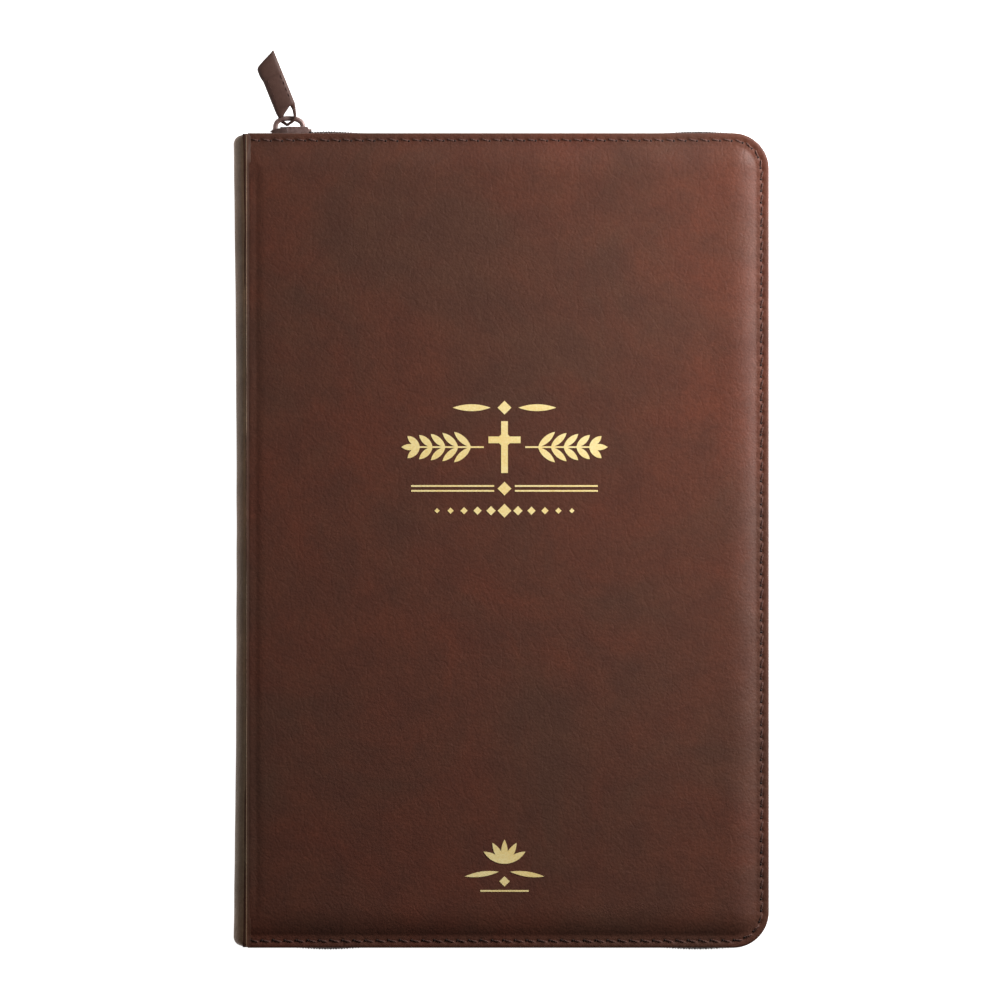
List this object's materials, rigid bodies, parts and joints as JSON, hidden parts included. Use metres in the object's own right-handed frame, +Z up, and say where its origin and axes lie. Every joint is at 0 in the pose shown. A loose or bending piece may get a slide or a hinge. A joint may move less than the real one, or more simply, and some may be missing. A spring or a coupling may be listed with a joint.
{
  "type": "bible",
  "caption": "Padded leather book case with a zip round three sides, holding a thin-paper book; covers fold flat about the spine, leaves turn, the zip slider runs and its pull swings.",
  "frame": {"origin": "centre of the back cover's flat outer face, on the surface the book lies on", "axes": "+Z up through the thickness towards the front cover, +Y from tail to head, +X from spine to fore-edge"},
  "size_m": [0.1551, 0.26, 0.042],
  "materials": {
    "leather": "fine grain, satin",
    "spine_leather": "fine grain, satin sheen",
    "foam": "open-cell foam wadding",
    "board": "grey binder's board",
    "lining": "smooth bonded leather",
    "endpaper": "matt",
    "page_block": "thin printed paper with gilt edges",
    "leaf": "thin, matt",
    "ribbon": "satin ribbon",
    "tape": "woven polyester tape",
    "coil": "nylon coil, sewn",
    "thread": "waxed thread",
    "metal": "brown lacquer, satin",
    "spring": "brushed",
    "foil": "hot-stamped gold foil",
    "cloth": "starched gauze",
    "silk": "ribbed silk",
    "pull_leather": "matt, raw edges"
  },
  "bodies": {
    "back_cover": {"back_leather": "leather", "back_padding": "foam", "back_board": "board", "back_lining": "lining", "back_pastedown": "endpaper", "back_flyleaf": "endpaper", "back_zip_tape": "tape", "back_zip_coil": "coil", "back_zip_stops": "metal", "back_stitching": "thread", "rear_pages": "page_block", "ribbon_marker": "ribbon"},
    "spine": {"spine_leather": "spine_leather", "spine_card": "board", "spine_cloth": "cloth", "headband_head": "silk", "headband_tail": "silk", "spine_foil": "foil"},
    "front_cover": {"front_leather": "leather", "front_padding": "foam", "front_board": "board", "front_lining": "lining", "front_pastedown": "endpaper", "front_flyleaf": "endpaper", "front_zip_tape": "tape", "front_zip_coil": "coil", "front_zip_stops": "metal", "front_stitching": "thread", "front_pages": "page_block", "title_foil": "foil", "emblem_foil": "foil"},
    "leaf_1": {"leaf_1": "leaf"},
    "leaf_2": {"leaf_2": "leaf"},
    "leaf_3": {"leaf_3": "leaf"},
    "leaf_4": {"leaf_4": "leaf"},
    "slider": {"slider_body": "metal", "slider_bail": "metal", "slider_lock_spring": "spring"},
    "pull_loop": {"pull_loop": "pull_leather"},
    "pull_tab": {"pull_tab": "pull_leather", "pull_tab_thread": "thread"}
  },
  "joints": [
    {"name": "spine_fold", "type": "hinge", "parent": "back_cover", "child": "spine", "pos_m": [-0.0755, 0, 0.002], "axis": [0, -1, 0], "range_deg": [0, 90]},
    {"name": "front_fold", "type": "hinge", "parent": "spine", "child": "front_cover", "pos_m": [-0.0755, 0, 0.04], "axis": [0, -1, 0], "range_deg": [0, 90]},
    {"name": "leaf_1_turn", "type": "hinge", "parent": "spine", "child": "leaf_1", "pos_m": [-0.0713, 0, 0.0207], "axis": [0, -1, 0], "range_deg": [-49.5, 0]},
    {"name": "leaf_2_turn", "type": "hinge", "parent": "spine", "child": "leaf_2", "pos_m": [-0.0713, 0, 0.02095], "axis": [0, -1, 0], "range_deg": [-18, 0]},
    {"name": "leaf_3_turn", "type": "hinge", "parent": "spine", "child": "leaf_3", "pos_m": [-0.0713, 0, 0.0212], "axis": [0, -1, 0], "range_deg": [0, 18]},
    {"name": "leaf_4_turn", "type": "hinge", "parent": "spine", "child": "leaf_4", "pos_m": [-0.0713, 0, 0.02145], "axis": [0, -1, 0], "range_deg": [0, 49.5]},
    {"name": "zip_slide", "type": "slide", "parent": "back_cover", "child": "slider", "axis": [1, 0, 0], "range_m": [0, 0.115]},
    {"name": "pull_tip", "type": "hinge", "parent": "slider", "child": "pull_loop", "pos_m": [-0.06145, 0.12235, 0.021], "axis": [1, 0, 0], "range_deg": [-85, 85]},
    {"name": "pull_swing", "type": "hinge", "parent": "pull_loop", "child": "pull_tab", "pos_m": [-0.0628, 0.12685, 0.021], "axis": [0, 0, 1], "range_deg": [-60, 20]}
  ],
  "couplings": [
    {"joint": "front_fold", "follows": "spine_fold", "ratio": 1},
    {"joint": "leaf_1_turn", "follows": "spine_fold", "ratio": -0.55},
    {"joint": "leaf_2_turn", "follows": "spine_fold", "ratio": -0.2},
    {"joint": "leaf_3_turn", "follows": "spine_fold", "ratio": 0.2},
    {"joint": "leaf_4_turn", "follows": "spine_fold", "ratio": 0.55}
  ]
}
